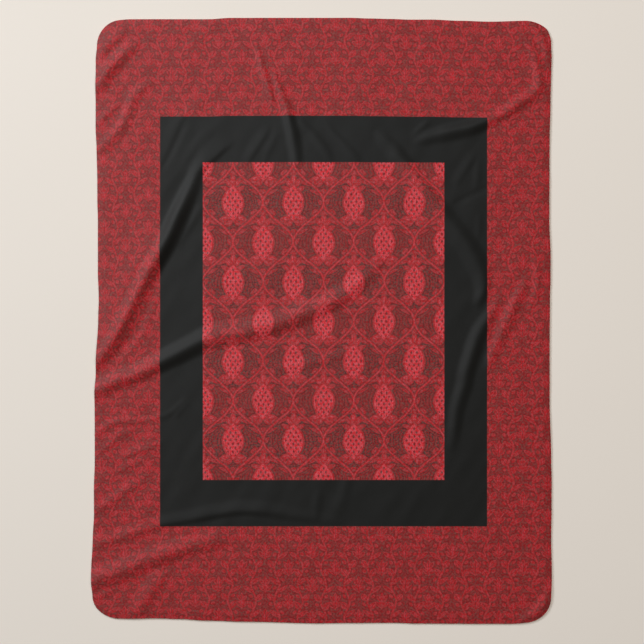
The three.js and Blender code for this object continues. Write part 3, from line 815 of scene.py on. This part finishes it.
def printedFleece():
    material, nodes, shader = newFinish("printed_fleece")
    place = nodes.add("ShaderNodeAttribute", {"attribute_name": "clothPlace"}, {}, "Vector")

    # A slightly unsteady hand in every line of the print
    sockets = {"Vector": place, "Scale": fleece["shakeScale"], "Detail": fleece["shakeDetail"]}
    shake = nodes.add("ShaderNodeTexNoise", {}, sockets, "Color")
    shake = nodes.add("ShaderNodeVectorMath", {"operation": "SUBTRACT"}, {0: shake, 1: (0.5, 0.5, 0.5)})
    shake = scaled(nodes, shake, fleece["shakeBy"])
    x, y = acrossAndAlong(nodes.add("ShaderNodeVectorMath", {"operation": "ADD"}, {0: place, 1: shake}))
    straightX, straightY = acrossAndAlong(place)

    # Ink that took unevenly: blotches, streaks along the cloth and dark flecks
    stretch = {0: place, 1: fleece["streakStretch"]}
    drawnOut = nodes.add("ShaderNodeVectorMath", {"operation": "MULTIPLY"}, stretch)
    streaks = specks(nodes, drawnOut, *fleece["streaks"])
    blotches = specks(nodes, place, *fleece["blotches"])
    flecks = specks(nodes, place, *fleece["flecks"])
    ground = mixed(blotches, ink["brown"], ink["wine"])
    ground = mixed(streaks * fleece["streakInk"], ground, ink["deep"])
    ground = mixed(flecks * fleece["fleckInk"], ground, ink["dusk"])
    paint = {"ground": ground, "streaks": streaks, "blotches": blotches, "flecks": flecks}

    def inside(half):  # 1 within a rectangle of the print
        over = (abs(straightX) - half[0]).math("MAXIMUM", abs(straightY) - half[1])
        return fade(over, frameBand["soft"], -frameBand["soft"])

    inPanel = inside(frameBand["innerHalf"])
    colour = mixed(inPanel, borderPrint(x, y, paint), panelPrint(x, y, paint))
    tint = {0: colour, 1: fleece["pureTint"]}
    purer = nodes.add("ShaderNodeVectorMath", {"operation": "MULTIPLY"}, tint)
    colour = mixed(specks(nodes, place, *fleece["pure"]) * fleece["pureInk"], colour, purer)
    colour = mixed(inside(frameBand["outerHalf"]) - inPanel, colour, ink["black"])

    # Brushed nap: lighter and darker patches, fine fibre ends
    nap = grain(nodes, place, *fleece["nap"])
    patches = grain(nodes, place, *fleece["patches"])
    least, byNap, byPatches = fleece["tone"]
    tone = least + byNap * nap + byPatches * patches
    nodes.feed(shader.inputs["Base Color"], scaled(nodes, colour, tone))
    least, byNap = fleece["roughness"]
    nodes.feed(shader.inputs["Roughness"], least + byNap * nap)
    shader.inputs["Specular IOR Level"].default_value = fleece["specular"]
    bump = nodes.add("ShaderNodeBump", {}, {**fleece["bump"], "Height": nap}, "Normal")
    nodes.feed(shader.inputs["Normal"], bump)
    return material


def sherpaPile():
    material, nodes, shader = newFinish("sherpa_pile")
    place = nodes.add("ShaderNodeTexCoord", {}, {}, "Object")
    fibres = grain(nodes, place, *pile["fibres"])
    patches = grain(nodes, place, *pile["patches"])
    colour = mixed(fade(fibres, *pile["lightFrom"]), pile["shade"], pile["light"])
    least, byPatches = pile["tone"]
    nodes.feed(shader.inputs["Base Color"], scaled(nodes, colour, least + byPatches * patches))
    least, byFibres = pile["roughness"]
    nodes.feed(shader.inputs["Roughness"], least + byFibres * fibres)
    bump = nodes.add("ShaderNodeBump", {}, {**pile["bump"], "Height": fibres}, "Normal")
    nodes.feed(shader.inputs["Normal"], bump)
    return material


rows = clothRows()
highest = round(rows["top"].max(), 1)
print("folds:", len(mainFolds), "main,", len(wrinkles), "small, highest", highest, "mm")
fleeceFinish = printedFleece()
pileFinish = sherpaPile()
cloth = makeCloth(rows)
cloth.data.materials.append(fleeceFinish)
cloth.data.materials.append(pileFinish)
curlPiece = makePile(rows, pileFinish)

for piece in (cloth, curlPiece):
    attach(piece, "root")
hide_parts("blanket")


# Floor, light and camera

studio = {
    "floorHalf": 12.0,
    "floorColour": (0.855, 0.815, 0.77),
    "floorGrain": 0.5,          # metres
    "floorTone": (0.99, 0.02),  # at the least, and more with the grain
    "floorRoughness": 0.9,
    "floorSpecular": 0.1,
    "lightFrom": (-0.8, 0.6),   # on the floor's plane
    "lightRise": 42,            # degrees
    "lightAway": 10.0,
    "lightSize": 3.8,
    "lightPower": 560,
    "lightColour": (0.94, 0.975, 1.0),
    "ceilingPlace": (1.4, 2.1, 10.0),
    "ceilingSize": 8.0,
    "ceilingPower": 614,
    "ceilingColour": (1.0, 0.92, 0.83),
    "ambient": (1.0, 0.92, 0.83, 1),
    "ambientStrength": 0.05,
    "lensHeight": 4.5,
    "viewMiddle": (0.0, -3.36),  # mm
    "viewHalf": 1081.3,          # mm at the floor
}


def addLamp(name, settings, location):  # a square soft light that faces the blanket
    lamp = bpy.data.lights.new(name, "AREA")
    lamp.energy = studio[settings + "Power"]
    lamp.size = studio[settings + "Size"]
    lamp.color = studio[settings + "Colour"]
    light = bpy.data.objects.new(name, lamp)
    light.location = location
    light.rotation_euler = location.to_track_quat("Z", "Y").to_euler()
    bpy.context.collection.objects.link(light)
    return light


def makeStudio():
    half = studio["floorHalf"]
    mesh = bpy.data.meshes.new("floor")
    corners = [(-half, -half, 0), (half, -half, 0), (half, half, 0), (-half, half, 0)]
    mesh.from_pydata(corners, [], [(0, 1, 2, 3)])
    floor = bpy.data.objects.new("floor", mesh)
    bpy.context.collection.objects.link(floor)
    material, nodes, shader = newFinish("floor")
    place = nodes.add("ShaderNodeTexCoord", {}, {}, "Object")
    least, byGrain = studio["floorTone"]
    tone = least + byGrain * grain(nodes, place, studio["floorGrain"])
    nodes.feed(shader.inputs["Base Color"], scaled(nodes, studio["floorColour"], tone))
    shader.inputs["Roughness"].default_value = studio["floorRoughness"]
    shader.inputs["Specular IOR Level"].default_value = studio["floorSpecular"]
    mesh.materials.append(material)

    rise = math.radians(studio["lightRise"])
    flat = Vector(studio["lightFrom"]).normalized() * math.cos(rise)
    addLamp("window_light", "light", Vector((flat.x, flat.y, math.sin(rise))) * studio["lightAway"])
    ceiling = addLamp("ceiling_light", "ceiling", Vector(studio["ceilingPlace"]))
    ceiling.visible_glossy = False  # soft fill that leaves no gloss on the nap

    world = bpy.data.worlds.new("room")
    world.use_nodes = True
    sky = world.node_tree.nodes["Background"]
    sky.inputs["Color"].default_value = studio["ambient"]
    sky.inputs["Strength"].default_value = studio["ambientStrength"]
    bpy.context.scene.world = world
    bpy.context.scene.view_settings.view_transform = "Standard"


def makeCamera():
    lens = bpy.data.cameras.new("from_above")
    lens.sensor_fit = "HORIZONTAL"
    lens.angle = 2 * math.atan(studio["viewHalf"] * mm / studio["lensHeight"])
    camera = bpy.data.objects.new("from_above", lens)
    camera.location = (studio["viewMiddle"][0] * mm, studio["viewMiddle"][1] * mm, studio["lensHeight"])
    bpy.context.collection.objects.link(camera)
    bpy.context.scene.camera = camera


makeStudio()
makeCamera()
print("studio: floor, light and camera")
